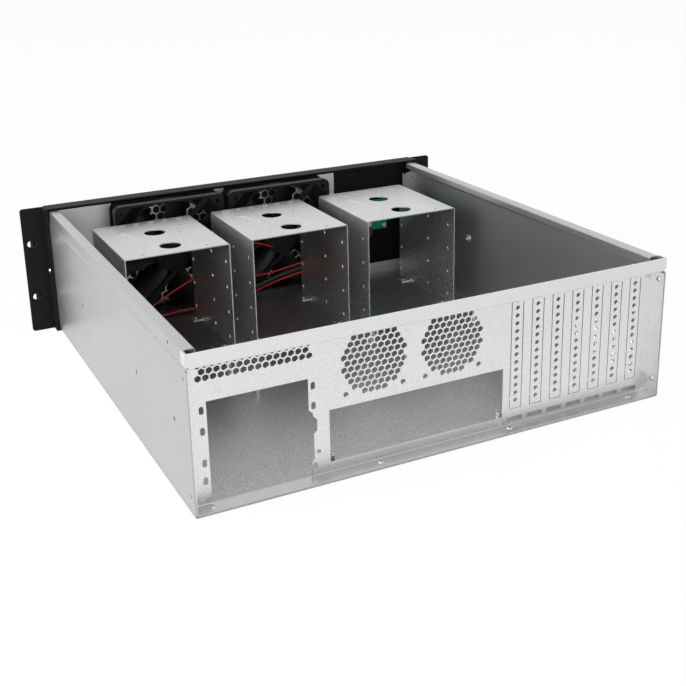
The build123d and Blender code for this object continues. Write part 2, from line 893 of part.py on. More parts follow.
def front_panel():
    """Black folded tray that covers the front, with four flanges to the rear."""
    depth = panel_flange_y - panel_face_y
    outline = Pos(0, panel_height / 2) * Rectangle(2 * half_panel, panel_height)
    outer = extrude(rear_view(panel_face_y) * outline, amount=-depth)
    outer = fillet(outer.edges().filter_by(Axis.Y), 1.2)
    outer = fillet(outer.faces().sort_by(Axis.Y)[0].edges(), 1.2)
    hollow = block(
        -half_panel + panel_sheet,
        half_panel - panel_sheet,
        panel_face_y + panel_sheet,
        panel_flange_y + 1,
        panel_sheet,
        panel_height - panel_sheet,
    )
    panel = outer - hollow
    panel -= extrude(rear_view(panel_face_y - 1) * panel_holes(), amount=-(panel_sheet + 2))
    for cut in both_sides(
        bar_x(ear_rivet_y, panel_height / 2, half_body, half_panel + 1, rivet_hole)
    ):
        panel -= cut
    return panel


def stud_points():
    """Spacers on the panel that carry the small board."""
    dx = io_board_width / 2 - 3.5
    dz = io_board_height / 2 - 3.5
    z = floor_z + board_centre_z
    return [(board_centre_x + dx, z + dz), (board_centre_x - dx, z - dz)]


def panel_spacers():
    """Hexagonal spacers pressed into the front panel."""
    placed = []
    back = panel_face_y + panel_sheet
    for x, z in bracket_points():
        placed.append(spacer(x, z, back, bracket_y))
    for x, z in stud_points():
        placed.append(spacer(x, z, back, board_y))
    return placed


def spacer(x, z, y0, y1):
    """One hexagonal spacer along Y with a threaded end."""
    shape = RegularPolygon(spacer_flats / math.sqrt(3), 6)
    post = extrude(rear_view(y0) * Pos(x, z) * shape, amount=-(y1 - y0))
    return post - bar_y(x, z, y1 - 5, y1 + 1, 2.6)


def small_screws():
    """Screws of the bracket's free end and of the small board."""
    screw = pan_screw(sheet + 2.5, 2.5, 5.2, 1.8)
    placed = [
        Pos(x, bracket_y + sheet, z) * Rot(-90, 0, 0) * screw for x, z in bracket_points()
    ]
    board_back = board_y + io_board_thickness
    placed += [Pos(x, board_back, z) * Rot(-90, 0, 0) * screw for x, z in stud_points()]
    return placed


def rack_ear():
    """Angle with the rack slots in its wide leg, riveted to the wall by its narrow one."""
    inner = half_panel
    wide = Pos((inner + half_ear) / 2, panel_height / 2) * Rectangle(half_ear - inner, panel_height)
    plate = extrude(rear_view(-ear_thickness) * wide, amount=-ear_thickness)
    corners = plate.edges().filter_by(Axis.Y).sort_by(Axis.X)[-2:]
    plate = fillet(corners, 3.0)
    leg = block(inner, inner + ear_thickness, -ear_thickness, ear_leg, 0, panel_height)
    ear = plate + leg
    for sign in (1, -1):
        z = panel_height / 2 + sign * rack_slot_pitch / 2
        slot = Pos(rack_slot_span / 2, z) * SlotOverall(rack_slot_length, rack_slot_width)
        ear -= extrude(rear_view(1) * slot, amount=ear_thickness + 2)
        z = panel_height / 2 + sign * handle_span / 2
        ear -= bar_y(handle_x, z, -ear_thickness - 1, 1, 4.2)
        cone = Pos(handle_x, -0.7, z) * Rot(-90, 0, 0) * Cone(2.6, 4.0, 1.4)
        ear -= cone
    ear -= bar_x(ear_rivet_y, panel_height / 2, half_panel - 1, half_panel + 3, rivet_hole)
    return ear


def ear_rivets():
    """Rivets through the ear, the panel's flange and the wall."""
    stack = ear_thickness + panel_sheet + seat_gap + sheet
    at = Pos(half_panel + ear_thickness, ear_rivet_y, panel_height / 2) * Rot(0, -90, 0)
    return both_sides(at * rivet(stack))


def handle():
    """Bent round handle on the front of an ear."""
    top = panel_height / 2 + handle_span / 2
    low = panel_height / 2 - handle_span / 2
    front = -ear_thickness - handle_reach
    path = FilletPolyline(
        (handle_x, -ear_thickness, low),
        (handle_x, front, low),
        (handle_x, front, top),
        (handle_x, -ear_thickness, top),
        radius=9.0,
    )
    start = Plane((handle_x, -ear_thickness, low), z_dir=(0, -1, 0))
    grip = sweep(start * Circle(handle_rod / 2), path=path)
    for z in (low, top):
        grip -= bar_y(handle_x, z, -ear_thickness - 10, -ear_thickness + 1, 3.4)
    return grip


def handle_screws():
    """Countersunk screws through the ears into the handles."""
    placed = []
    for sign in (1, -1):
        z = panel_height / 2 + sign * handle_span / 2
        head = Pos(handle_x, -0.7, z) * Rot(-90, 0, 0) * Cone(2.5, 3.9, 1.3)
        shank = bar_y(handle_x, z, -ear_thickness - 8, -0.5, 3.3)
        slot = Pos(handle_x, 0, z) * (Box(4.4, 1.0, 0.7) + Box(0.7, 1.0, 4.4))
        placed += both_sides(head + shank - slot)
    return placed


# Front board and controls


def front_board():
    """Small circuit board on the back of the panel."""
    z = floor_z + board_centre_z
    plate = Pos(board_centre_x, z) * RectangleRounded(io_board_width, io_board_height, 1.5)
    holes = [Pos(x, z) * Circle(1.5) for x, z in stud_points()]
    return extrude(rear_view(board_y) * (plate - Sketch(children=holes)), amount=-io_board_thickness)


def usb_socket(name):
    """Shell of one socket with its contact tongue."""
    x, z = control_points()[name]
    front = panel_face_y + 0.3
    back = board_y
    half_w = usb_width / 2
    half_h = usb_height / 2
    shell = block(x - half_w, x + half_w, front, back, z - half_h, z + half_h)
    shell -= block(
        x - half_w + 0.6, x + half_w - 0.6, front - 1, back - 1, z - half_h + 0.6, z + half_h - 0.6
    )
    tongue = block(x - 5.5, x + 5.5, front + 0.8, back - 0.5, z + 0.4, z + 2.2)
    return shell + tongue


def usb_sockets():
    """Both sockets."""
    return [usb_socket("usb_1"), usb_socket("usb_2")]


def button(name, diameter):
    """Round push button with a collar behind the panel."""
    x, z = control_points()[name]
    back = panel_face_y + panel_sheet
    cap = bar_y(x, z, panel_face_y - 2.0, back + 1.6, diameter)
    cap = fillet(cap.edges().sort_by(Axis.Y)[0], 0.5)
    collar = bar_y(x, z, back + 0.1, back + 1.6, diameter + 2.4)
    return cap + collar


def switch_body(name):
    """Tact switch behind a button, clear of the button by its travel."""
    x, z = control_points()[name]
    back = panel_face_y + panel_sheet
    face = back + 1.6 + button_travel + 0.3
    body = block(x - 3, x + 3, face + 1.0, board_y, z - 3, z + 3)
    return body + bar_y(x, z, face, face + 1.2, 3.4)


def tact_switches():
    """Both switches."""
    return [switch_body("power"), switch_body("reset")]


def status_lights():
    """Round lamps between the board and the panel."""
    lamps = []
    for name in ("power_light", "drive_light"):
        x, z = control_points()[name]
        lamp = bar_y(x, z, panel_face_y - 0.4, board_y, 3.0)
        lamps.append(fillet(lamp.edges().sort_by(Axis.Y)[0], 0.9))
    return lamps


def bracket_rivets():
    """Rivets that hold the bracket to the wall's front fold."""
    placed = []
    for x, z in bracket_rivet_points():
        at = Pos(x, bracket_y + sheet, z) * Rot(90, 0, 0)
        placed.append(at * rivet(2 * sheet))
    return placed


# Leads behind the fans, with the points that each one bends at

sleeve_route = [
    (-151.0, header_back_y, 59.5),
    (-151.0, 19.0, 59.5),
    (-148.0, 27.5, 57.8),
    (-142.0, 34.0, 55.0),
    (-132.5, 37.0, 50.8),
    (-118.0, 36.6, 44.6),
    (-99.0, 35.6, 38.2),
    (-72.0, 35.4, 34.2),
    (-42.0, 35.6, 30.6),
    (-14.0, 35.4, 24.4),
    (12.0, 35.6, 15.4),
    (38.0, 35.4, 8.6),
    (66.0, 35.6, 5.9),
    (96.0, 35.4, 5.4),
    (126.0, 35.6, 5.6),
    (154.0, 35.4, 5.4),
    (183.0, 34.2, 5.5),
    (199.0, 46.5, 5.4),
    (204.0, 68.0, 5.5),
    (203.2, 96.0, 5.4),
    (203.2, 122.0, 5.4),
]
signal_route = [
    (-145.0, header_back_y, 56.2),
    (-145.0, 18.0, 56.2),
    (-143.0, 25.0, 53.6),
    (-137.0, 31.0, 48.8),
    (-127.0, 35.2, 43.0),
    (-113.0, 37.8, 38.0),
    (-95.0, 38.8, 33.4),
    (-70.0, 39.0, 29.6),
    (-41.0, 38.9, 26.4),
    (-13.0, 39.1, 20.6),
    (13.0, 39.0, 12.0),
    (39.0, 39.6, 6.6),
    (66.0, 39.9, 7.2),
    (90.0, 39.8, 8.8),
    (113.0, 39.9, 6.2),
    (136.0, 39.7, 4.0),
    (158.0, 39.7, 3.9),
    (177.0, 38.8, 3.8),
    (193.0, 46.5, 3.8),
    (197.0, 66.0, 3.9),
    (196.4, 95.0, 3.8),
    (196.4, 122.0, 3.8),
]
left_fan_route = [
    (35.0, fan_rear_y, 47.0),
    (35.0, 33.2, 47.0),
    (37.6, 35.6, 46.9),
    (43.0, 37.0, 46.1),
    (52.5, 37.3, 44.8),
    (66.0, 37.2, 42.4),
    (79.0, 37.4, 39.2),
    (95.0, 37.2, 31.8),
    (110.0, 37.4, 24.2),
    (125.0, 37.2, 16.0),
    (140.0, 36.8, 10.8),
    (159.0, 36.4, 9.5),
    (177.0, 36.0, 9.7),
    (188.5, 44.5, 8.2),
    (189.0, 62.0, 4.8),
    (188.0, 84.0, 3.8),
    (188.0, 106.0, 3.8),
]
right_fan_route = [
    (-21.0, fan_rear_y, 60.0),
    (-21.0, 33.2, 60.0),
    (-18.6, 35.4, 61.6),
    (-13.0, 36.4, 65.0),
    (-3.0, 36.4, 68.8),
    (9.0, 36.2, 70.8),
    (19.5, 36.4, 66.6),
    (25.5, 36.6, 57.0),
    (25.0, 36.6, 46.0),
    (18.5, 36.7, 37.0),
    (7.0, 36.6, 32.6),
    (-7.0, 36.8, 31.8),
    (-21.0, 36.6, 33.0),
    (-36.0, 36.7, 35.2),
    (-49.0, 36.6, 37.6),
    (-60.0, 36.8, 39.2),
]


def bend_radii(route):
    """Largest arcs that the runs on each side of a corner allow."""
    radii = []
    for before, corner, after in zip(route, route[1:], route[2:]):
        run_in = Vector(*corner) - Vector(*before)
        run_out = Vector(*after) - Vector(*corner)
        turn = math.radians(run_in.get_angle(run_out))
        radii.append(0.45 * min(run_in.length, run_out.length) / math.tan(turn / 2))
    return radii


def lead(name, route, diameter):
    """Round lead along its route."""
    radii = bend_radii(route)
    print(name, "bend radii", [round(each, 1) for each in radii])
    path = FilletPolyline(*route, radius=radii)
    start = Plane(route[0], z_dir=path % 0)
    return sweep(start * Circle(diameter / 2), path=path)


def floor_plug(x, y, width, height, length):
    """Plug housing on the floor, with its lead coming in from the front."""
    return block(x - width / 2, x + width / 2, y, y + length, floor_top, floor_top + height)


def left_fan_plug():
    """Plug of the left fan, on the floor beside the left cage."""
    x, y = left_fan_route[-1][:2]
    return floor_plug(x, y, fan_plug_width, fan_plug_height, fan_plug_length)


def right_fan_plug():
    """Plug of the right fan, hanging at the end of its lead."""
    x, y, z = right_fan_route[-1]
    half_w = fan_plug_width / 2
    half_h = fan_plug_height / 2
    return block(x - fan_plug_length, x, y - half_w, y + half_w, z - half_h, z + half_h)


def board_header():
    """Pin header with its plug, on the back of the small board."""
    return block(
        header_x - header_length / 2,
        header_x + header_length / 2,
        header_back_y - header_depth,
        header_back_y,
        header_z - header_height / 2,
        header_z + header_height / 2,
    )


def signal_plug():
    """Flat housing that both leads of the front panel run into."""
    middle = (sleeve_route[-1][0] + signal_route[-1][0]) / 2
    y = sleeve_route[-1][1]
    return floor_plug(middle, y, panel_plug_width, panel_plug_height, panel_plug_length)


def save(name, made):
    """Writes one named piece."""
    shape = Compound(children=list(made)) if isinstance(made, list) else made
    export_step(shape, os.path.join("parts", name + ".step"))


def model():
    """Every named piece of the case."""
    pieces = {
        "chassis_tray": chassis_tray(),
        "rear_panel": rear_panel(),
        "ledge_rivets": ledge_rivets(),
        "wall_rivets": wall_rivets(),
        "board_standoffs": board_standoffs(),
        "rail_nuts": rail_nuts(),
        "cage_screws": cage_screws(),
        "fan_bracket": fan_bracket(),
        "fan_screws": fan_screws(),
        "dust_filter": dust_filter(),
        "front_panel": front_panel(),
        "panel_spacers": panel_spacers(),
        "small_screws": small_screws(),
        "bracket_rivets": bracket_rivets(),
        "ear_rivets": ear_rivets(),
        "handle_screws": handle_screws(),
        "front_board": front_board(),
        "usb_sockets": usb_sockets(),
        "tact_switches": tact_switches(),
        "status_lights": status_lights(),
        "board_header": board_header(),
        "front_panel_lead": lead("front_panel_lead", sleeve_route, sleeve_diameter),
        "front_panel_wire": lead("front_panel_wire", signal_route, wire_diameter),
        "front_panel_plug": signal_plug(),
        "fan_lead_left": lead("fan_lead_left", left_fan_route, wire_diameter),
        "fan_lead_right": lead("fan_lead_right", right_fan_route, wire_diameter),
        "fan_plug_left": left_fan_plug(),
        "fan_plug_right": right_fan_plug(),
        "power_button": button("power", power_button_diameter),
        "reset_button": button("reset", reset_button_diameter),
    }
    for count, name in enumerate(("left", "middle", "right")):
        pieces["drive_cage_" + name] = drive_cage((1 - count) * cage_pitch)
    frame = fan_frame()
    wheel = fan_impeller()
    for count, x in enumerate(fan_centres()):
        name = ("left", "right")[count]
        pieces["fan_frame_" + name] = into_case(frame, x)
        pieces["fan_impeller_" + name] = into_case(wheel, x)
    ear, mirrored = both_sides(rack_ear())
    pieces["rack_ear_left"] = ear
    pieces["rack_ear_right"] = mirrored
    grip, mirrored = both_sides(handle())
    pieces["handle_left"] = grip
    pieces["handle_right"] = mirrored
    return pieces


os.makedirs("parts", exist_ok=True)
for piece_name, piece in model().items():
    save(piece_name, piece)
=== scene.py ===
import math

import bmesh
import bpy
from mathutils import Matrix, Vector


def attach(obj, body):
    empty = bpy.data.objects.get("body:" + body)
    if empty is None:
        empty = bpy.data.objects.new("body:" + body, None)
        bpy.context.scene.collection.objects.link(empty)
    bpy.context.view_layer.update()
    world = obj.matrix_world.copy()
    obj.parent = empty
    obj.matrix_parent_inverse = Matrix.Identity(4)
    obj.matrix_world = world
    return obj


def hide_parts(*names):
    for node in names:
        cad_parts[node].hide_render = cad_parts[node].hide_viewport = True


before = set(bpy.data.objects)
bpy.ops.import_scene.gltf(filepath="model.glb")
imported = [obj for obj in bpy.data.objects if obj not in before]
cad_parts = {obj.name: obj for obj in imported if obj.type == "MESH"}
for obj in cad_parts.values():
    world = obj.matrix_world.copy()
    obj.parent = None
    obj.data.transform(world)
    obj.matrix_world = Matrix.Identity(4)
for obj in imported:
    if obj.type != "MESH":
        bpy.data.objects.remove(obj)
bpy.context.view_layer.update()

# Camera: it stands behind the case, above its left rear corner, and looks down into the open top.
# Its place is a fit to the case's corners, and the small shift keeps the uprights nearly upright.
camera_place = Vector((0.4231, 1.1142, 0.4222))
camera_azimuth = math.radians(153.84)
camera_elevation = math.radians(18.02)
camera_roll = math.radians(-1.27)
focal_pixels = 1097.9
picture_pixels = 686.0
sensor_width = 36.0
upright_shift = -0.12

ahead = Vector(
    (
        -math.sin(camera_azimuth) * math.cos(camera_elevation),
        math.cos(camera_azimuth) * math.cos(camera_elevation),
        -math.sin(camera_elevation),
    )
)
to_right = ahead.cross(Vector((0, 0, 1))).normalized()
upward = to_right.cross(ahead)
rolled_right = to_right * math.cos(camera_roll) + upward * math.sin(camera_roll)
rolled_up = upward * math.cos(camera_roll) - to_right * math.sin(camera_roll)
turn = Matrix((rolled_right, rolled_up, -ahead)).transposed()
camera_data = bpy.data.cameras.new("camera")
camera_data.sensor_width = sensor_width
camera_data.lens = focal_pixels / picture_pixels * sensor_width
camera_data.shift_y = upright_shift
camera_data.clip_start = 0.05
camera_data.clip_end = 60.0
camera = bpy.data.objects.new("camera", camera_data)
camera.matrix_world = Matrix.Translation(camera_place) @ turn.to_4x4()
bpy.context.scene.collection.objects.link(camera)
bpy.context.scene.camera = camera
bpy.context.scene.view_settings.view_transform = "Standard"

# Floor and surroundings: a white sweep that the case stands on, under a pale sky.
# Rays from the camera see it white, and the floor still darkens where the case shades it.
floor_white = (0.92, 0.92, 0.92, 1.0)
floor_reach = 14.0
floor_in_gloss = 0.55
floor_glow_share = 0.95
sky_light = 0.40
sky_in_gloss = 1.0
pure_white = (1.0, 1.0, 1.0, 1.0)


def white_for_rays(tree, gloss_share):
    """One for a ray from the camera or through glass, less for a gloss reflection, or zero."""
    path = tree.nodes.new("ShaderNodeLightPath")
    dimmed = tree.nodes.new("ShaderNodeMath")
    dimmed.operation = "MULTIPLY"
    dimmed.inputs[1].default_value = gloss_share
    first = tree.nodes.new("ShaderNodeMath")
    first.operation = "MAXIMUM"
    either = tree.nodes.new("ShaderNodeMath")
    either.operation = "MAXIMUM"
    tree.links.new(path.outputs["Is Camera Ray"], first.inputs[0])
    tree.links.new(path.outputs["Is Glossy Ray"], dimmed.inputs[0])
    tree.links.new(dimmed.outputs[0], first.inputs[1])
    tree.links.new(first.outputs[0], either.inputs[0])
    tree.links.new(path.outputs["Is Transmission Ray"], either.inputs[1])
    return either.outputs[0]


floor_mesh = bpy.data.meshes.new("floor")
sheet_mesh = bmesh.new()
bmesh.ops.create_grid(sheet_mesh, x_segments=1, y_segments=1, size=floor_reach)
sheet_mesh.to_mesh(floor_mesh)
sheet_mesh.free()
floor = bpy.data.objects.new("floor", floor_mesh)
bpy.context.scene.collection.objects.link(floor)
floor_paint = bpy.data.materials.new("floor_paint")
floor_paint.use_nodes = True
tree = floor_paint.node_tree
tree.nodes.clear()
diffuse = tree.nodes.new("ShaderNodeBsdfDiffuse")
diffuse.inputs["Color"].default_value = floor_white
glow = tree.nodes.new("ShaderNodeEmission")
glow.inputs["Color"].default_value = pure_white
share = tree.nodes.new("ShaderNodeMath")
share.operation = "MULTIPLY"
share.inputs[1].default_value = floor_glow_share
blend = tree.nodes.new("ShaderNodeMixShader")
out = tree.nodes.new("ShaderNodeOutputMaterial")
tree.links.new(white_for_rays(tree, floor_in_gloss), share.inputs[0])
tree.links.new(share.outputs[0], blend.inputs[0])
tree.links.new(diffuse.outputs[0], blend.inputs[1])
tree.links.new(glow.outputs[0], blend.inputs[2])
tree.links.new(blend.outputs[0], out.inputs["Surface"])
floor_mesh.materials.append(floor_paint)

world = bpy.data.worlds.new("sky")
world.use_nodes = True
bpy.context.scene.world = world
tree = world.node_tree
background = tree.nodes["Background"]
strength = tree.nodes.new("ShaderNodeMapRange")
strength.inputs["To Min"].default_value = sky_light
strength.inputs["To Max"].default_value = 1.0
tree.links.new(white_for_rays(tree, sky_in_gloss), strength.inputs["Value"])
tree.links.new(strength.outputs[0], background.inputs["Strength"])
background.inputs["Color"].default_value = pure_white


# Lamps: two big soft boxes, low at the case's left side and behind it, and a weak one overhead.
# The low boxes light the outer walls and leave the deep inside of the case darker.
def soft_box(name, place, aim, width, height, power):
    """Rectangular lamp that shines from its place towards a point."""
    lamp = bpy.data.lights.new(name, "AREA")
    lamp.shape = "RECTANGLE"
    lamp.size = width
    lamp.size_y = height
    lamp.energy = power
    holder = bpy.data.objects.new(name, lamp)
    facing = (Vector(aim) - Vector(place)).to_track_quat("-Z", "Y").to_matrix().to_4x4()
    holder.matrix_world = Matrix.Translation(place) @ facing
    bpy.context.scene.collection.objects.link(holder)


soft_box(
    "side_box", place=(2.4, 0.5, 0.75), aim=(0, 0.2, 0.1), width=1.8, height=1.3, power=60.0
)
soft_box("rear_box", place=(1.3, 2.8, 0.8), aim=(0, 0.3, 0.1), width=1.8, height=1.3, power=34.0)
soft_box("top_box", place=(-0.2, 0.3, 2.6), aim=(0, 0.2, 0), width=1.6, height=1.6, power=16.0)

# Chassis tray: one piece of zinc-plated steel sheet, cut, pierced and folded into floor and walls.
# The plating is light grey with a fine grain and faint cloudy patches, and a painted shade darkens
# its floor and the foot of its walls.
tray_grey = (0.475, 0.475, 0.475)
tray_roughness = 0.34
floor_painted_shade_height = 0.0075
cloud_size = 22.0
smear_size = 6.0
smear_roughness = 0.16
grain_roughness = 0.10
grain_strength = 0.5
grain_height = 0.0002


def plating_group():
    """Fine grain and cloudy patches of plated sheet, and painted light low down (a factor above
    one brightens, below one is painted shade), as a shade, a roughness and a normal.
    """
    group = bpy.data.node_groups.new("plating", "ShaderNodeTree")
    group.interface.new_socket("Grain Size", in_out="INPUT", socket_type="NodeSocketFloat")
    group.interface.new_socket("Grain Depth", in_out="INPUT", socket_type="NodeSocketFloat")
    group.interface.new_socket("Cloud Depth", in_out="INPUT", socket_type="NodeSocketFloat")
    group.interface.new_socket("Base Roughness", in_out="INPUT", socket_type="NodeSocketFloat")
    group.interface.new_socket("Low Height", in_out="INPUT", socket_type="NodeSocketFloat")
    group.interface.new_socket("Low Painted Light", in_out="INPUT", socket_type="NodeSocketFloat")
    group.interface.new_socket("Low Grain", in_out="INPUT", socket_type="NodeSocketFloat")
    group.interface.new_socket("Shade", in_out="OUTPUT", socket_type="NodeSocketFloat")
    group.interface.new_socket("Roughness", in_out="OUTPUT", socket_type="NodeSocketFloat")
    group.interface.new_socket("Normal", in_out="OUTPUT", socket_type="NodeSocketVector")
    ins = group.nodes.new("NodeGroupInput")
    outs = group.nodes.new("NodeGroupOutput")
    place = group.nodes.new("ShaderNodeTexCoord")
    grain = group.nodes.new("ShaderNodeTexNoise")
    grain.inputs["Detail"].default_value = 3.0
    cloud = group.nodes.new("ShaderNodeTexNoise")
    cloud.inputs["Scale"].default_value = cloud_size
    cloud.inputs["Detail"].default_value = 4.0
    smear = group.nodes.new("ShaderNodeTexNoise")
    smear.inputs["Scale"].default_value = smear_size
    smear.inputs["Distortion"].default_value = 1.2
    for texture in (grain, cloud, smear):
        group.links.new(place.outputs["Object"], texture.inputs["Vector"])
    group.links.new(ins.outputs["Grain Size"], grain.inputs["Scale"])

    def centred(source, depth):
        """The texture's departure from its middle, times a depth."""
        less = group.nodes.new("ShaderNodeMath")
        less.operation = "SUBTRACT"
        less.inputs[1].default_value = 0.5
        times = group.nodes.new("ShaderNodeMath")
        times.operation = "MULTIPLY"
        group.links.new(source, less.inputs[0])
        group.links.new(less.outputs[0], times.inputs[0])
        if isinstance(depth, float):
            times.inputs[1].default_value = depth
        else:
            group.links.new(depth, times.inputs[1])
        return times.outputs[0]

    def total(first, second):
        """Sum of two values."""
        add = group.nodes.new("ShaderNodeMath")
        add.operation = "ADD"
        group.links.new(first, add.inputs[0])
        if isinstance(second, float):
            add.inputs[1].default_value = second
        else:
            group.links.new(second, add.inputs[1])
        return add.outputs[0]

    heights = group.nodes.new("ShaderNodeSeparateXYZ")
    group.links.new(place.outputs["Object"], heights.inputs[0])

    def scaled_low(source, low_factor):
        """A value times a factor that fades out from the bottom of the case to a height."""
        rise = group.nodes.new("ShaderNodeMapRange")
        rise.interpolation_type = "SMOOTHSTEP"
        times = group.nodes.new("ShaderNodeMath")
        times.operation = "MULTIPLY"
        group.links.new(heights.outputs["Z"], rise.inputs["Value"])
        group.links.new(ins.outputs["Low Height"], rise.inputs["From Max"])
        group.links.new(ins.outputs[low_factor], rise.inputs["To Min"])
        group.links.new(source, times.inputs[0])
        group.links.new(rise.outputs[0], times.inputs[1])
        return times.outputs[0]

    specks = centred(grain.outputs[0], scaled_low(ins.outputs["Grain Depth"], "Low Grain"))
    clouds = centred(cloud.outputs[0], ins.outputs["Cloud Depth"])
    # Low in the case the shade is scaled by a painted light factor: below one it is painted shade,
    # above one painted light.
    shade = scaled_low(total(total(specks, clouds), 1.0), "Low Painted Light")
    group.links.new(shade, outs.inputs["Shade"])
    smears = centred(smear.outputs[0], smear_roughness)
    rough = total(smears, centred(grain.outputs[0], grain_roughness))
    group.links.new(total(rough, ins.outputs["Base Roughness"]), outs.inputs["Roughness"])
    bump = group.nodes.new("ShaderNodeBump")
    bump.inputs["Strength"].default_value = grain_strength
    bump.inputs["Distance"].default_value = grain_height
    group.links.new(grain.outputs[0], bump.inputs["Height"])
    group.links.new(bump.outputs[0], outs.inputs["Normal"])
    return group


plating = plating_group()


def plated_sheet(
    name,
    grey,
    roughness,
    grain_size,
    grain_depth,
    cloud_depth,
    metallic=0.97,
    low_height=0.001,
    low_painted_light=1.0,
    low_grain=1.0,
):
    """Plated sheet of one tone, whose grain may change, and which gets painted shade (factor below
    one) or painted light (above one), from the bottom to a height.
    """
    material = bpy.data.materials.new(name)
    material.use_nodes = True
    tree = material.node_tree
    shader = tree.nodes["Principled BSDF"]
    shader.inputs["Metallic"].default_value = metallic
    finish = tree.nodes.new("ShaderNodeGroup")
    finish.node_tree = plating
    finish.inputs["Grain Size"].default_value = grain_size
    finish.inputs["Grain Depth"].default_value = grain_depth
    finish.inputs["Cloud Depth"].default_value = cloud_depth
    finish.inputs["Base Roughness"].default_value = roughness
    finish.inputs["Low Height"].default_value = low_height
    finish.inputs["Low Painted Light"].default_value = low_painted_light
    finish.inputs["Low Grain"].default_value = low_grain
    tint = tree.nodes.new("ShaderNodeVectorMath")
    tint.operation = "SCALE"
    tint.inputs[0].default_value = grey
    tree.links.new(finish.outputs["Shade"], tint.inputs["Scale"])
    tree.links.new(tint.outputs[0], shader.inputs["Base Color"])
    tree.links.new(finish.outputs["Roughness"], shader.inputs["Roughness"])
    tree.links.new(finish.outputs["Normal"], shader.inputs["Normal"])
    return material


def dress(material, *nodes):
    """Gives carried-over pieces their finish."""
    for node in nodes:
        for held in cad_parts[node].material_slots:
            held.material = material


# The tray's bottom 7.5 mm, floor included, gets painted shade: its tone times 0.78, fading out
# upwards.
tray_zinc = plated_sheet(
    "tray_zinc",
    tray_grey,
    tray_roughness,
    grain_size=1000.0,
    grain_depth=0.9,
    cloud_depth=0.10,
    metallic=0.90,
    low_height=floor_painted_shade_height,
    low_painted_light=0.78,
    low_grain=1.8,
)
dress(tray_zinc, "chassis_tray")

# Rear panel: thinner, brighter plated sheet, pierced with the rear openings and riveted in.
# It stands recessed behind its ledge and top rail, cleaner than the tray, with a painted shade
# darkening it low down.
panel_grey = (0.76, 0.76, 0.76)
panel_roughness = 0.30
panel_painted_shade_height = 0.027

# The panel's lowest 27 mm gets painted shade: its tone times 0.70, fading out upwards.
rear_zinc = plated_sheet(
    "rear_zinc",
    panel_grey,
    panel_roughness,
    grain_size=900.0,
    grain_depth=0.45,
    cloud_depth=0.08,
    low_height=panel_painted_shade_height,
    low_painted_light=0.70,
)
dress(rear_zinc, "rear_panel")

# Drive cages and fan bracket: galvanised sheet, whose grain shows more down the cages' sides.
# Painted light brightens the cages' lower sides.
# Each cage is one folded sheet, and the bracket is a flat pierced one behind the front panel.
cage_grey = (0.62, 0.62, 0.62)
cage_roughness = 0.40
cage_top_height = 0.113
bracket_grey = (0.58, 0.585, 0.59)
bracket_roughness = 0.4

# The cages' sides get painted light: their tone times 1.10 at the bottom, fading out by the cage
# top.
cage_zinc = plated_sheet(
    "cage_zinc",
    cage_grey,
    cage_roughness,
    grain_size=750.0,
    grain_depth=0.8,
    cloud_depth=0.12,
    low_height=cage_top_height,
    low_painted_light=1.10,
    low_grain=4.0,
)
dress(cage_zinc, "drive_cage_left", "drive_cage_middle", "drive_cage_right")
bracket_zinc = plated_sheet(
    "bracket_zinc",
    bracket_grey,
    bracket_roughness,
    grain_size=900.0,
    grain_depth=0.2,
    cloud_depth=0.16,
)
dress(bracket_zinc, "fan_bracket")

# Rivets, screws, nuts, spacers and socket shells: small steel parts, bright zinc plated.
# The board standoffs are the same steel, and the screws inside the cages have a much darker grey,
# a painted shade.
screw_grey = (0.56, 0.555, 0.54)
screw_roughness = 0.32
cage_screw_painted_shade_grey = (0.26, 0.26, 0.26)
cage_screw_roughness = 0.45
small_grain = 2400.0

screw_zinc = plated_sheet(
    "screw_zinc",
    screw_grey,
    screw_roughness,
    grain_size=small_grain,
    grain_depth=0.08,
    cloud_depth=0.05,
)
dress(
    screw_zinc,
    "ledge_rivets",
    "fan_screws",
    "rail_nuts",
    "bracket_rivets",
    "panel_spacers",
    "small_screws",
    "ear_rivets",
    "usb_sockets",
    "board_standoffs",
)
# Painted shade: the screws inside the cages share the steel of the others, with a much darker
# grey.
painted_shade_zinc = plated_sheet(
    "painted_shade_zinc",
    cage_screw_painted_shade_grey,
    cage_screw_roughness,
    grain_size=small_grain,
    grain_depth=0.08,
    cloud_depth=0.05,
)
dress(painted_shade_zinc, "cage_screws")

# Wall rivets: coppered heads on the outside of the walls, and zinc plated tails on the inside.
# The wall's outer face, measured from the centre line, divides the two.
copper_tone = (0.36, 0.24, 0.155, 1.0)
tail_tone = (0.50, 0.50, 0.49, 1.0)
rivet_roughness = 0.42
wall_face = 0.2148

wall_copper = bpy.data.materials.new("wall_copper")
wall_copper.use_nodes = True
tree = wall_copper.node_tree
shader = tree.nodes["Principled BSDF"]
shader.inputs["Metallic"].default_value = 1.0
shader.inputs["Roughness"].default_value = rivet_roughness
place = tree.nodes.new("ShaderNodeTexCoord")
split = tree.nodes.new("ShaderNodeSeparateXYZ")
across = tree.nodes.new("ShaderNodeMath")
across.operation = "ABSOLUTE"
outside = tree.nodes.new("ShaderNodeMath")
outside.operation = "GREATER_THAN"
outside.inputs[1].default_value = wall_face
tone = tree.nodes.new("ShaderNodeMix")
tone.data_type = "RGBA"
tone.inputs["A"].default_value = tail_tone
tone.inputs["B"].default_value = copper_tone
tree.links.new(place.outputs["Object"], split.inputs[0])
tree.links.new(split.outputs["X"], across.inputs[0])
tree.links.new(across.outputs[0], outside.inputs[0])
tree.links.new(outside.outputs[0], tone.inputs["Factor"])
tree.links.new(tone.outputs["Result"], shader.inputs["Base Color"])
dress(wall_copper, "wall_rivets")

# Front panel, ears and handles: folded steel sheet and bent rod, powder coated in black.
# The coat has a fine pimpled texture and a low sheen.
coat_black = (0.004, 0.004, 0.004, 1.0)
coat_roughness = 0.55
texture_strength = 0.35
roughness_spread = 0.08


